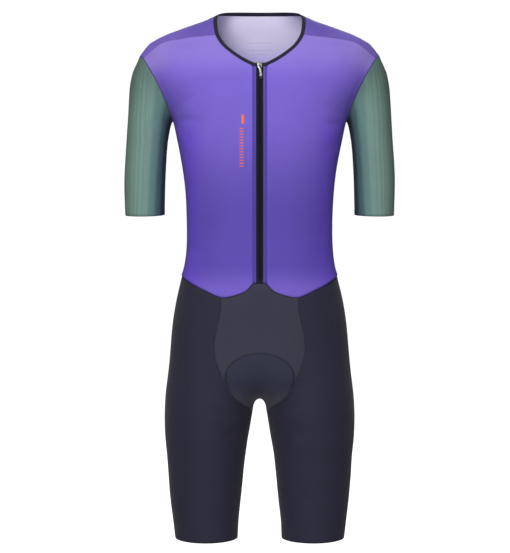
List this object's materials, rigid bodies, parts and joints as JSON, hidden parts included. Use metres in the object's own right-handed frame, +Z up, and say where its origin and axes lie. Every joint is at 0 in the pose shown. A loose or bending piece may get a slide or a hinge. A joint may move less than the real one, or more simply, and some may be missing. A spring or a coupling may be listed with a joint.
{
  "type": "cycling skinsuit",
  "caption": "Short-sleeved one-piece cycling suit with a full front zip, thigh-length legs and a seat pad; filled out, empty, with its neck, sleeves and legs open.",
  "frame": {"origin": "on the wearer's middle line, level with the points where the neck meets the shoulders", "axes": "+X towards the wearer's left, +Y towards the wearer's back, +Z up"},
  "size_m": [0.4998, 0.2363, 0.9843],
  "materials": {
    "purple_cloth": "smooth thin stretch knit, matt",
    "green_cloth": "smooth stretch knit with soft lengthwise stripes of grey-green, matt",
    "slate_cloth": "dense stretch knit, matt",
    "black_binding": "folded elastic band, matt",
    "black_tape": "woven zip tape, matt",
    "black_coil": "nylon coil, satin",
    "silver_metal": "bright cast metal, satin",
    "black_rubber": "moulded, matt",
    "pad_cloth": "brushed stretch cloth over foam, matt"
  },
  "bodies": {
    "suit": {"back": "purple_cloth", "front_left": "purple_cloth", "front_right": "purple_cloth", "sleeve_left": "green_cloth", "sleeve_right": "green_cloth", "neck_binding": "black_binding", "zip_tape_left": "black_tape", "zip_tape_right": "black_tape", "zip_chain": "black_coil", "zip_slider": "silver_metal", "shorts_front": "slate_cloth", "leg_left": "slate_cloth", "leg_right": "slate_cloth", "seat_pad": "pad_cloth"},
    "pull_tab": {"zip_pull": "silver_metal", "zip_pull_grip": "black_rubber"}
  },
  "joints": [
    {"name": "zip_pull_hinge", "type": "hinge", "parent": "suit", "child": "pull_tab", "pos_m": [0, -0.08707, -0.0996], "axis": [-1, 0, 0], "range_deg": [0, 150]}
  ]
}
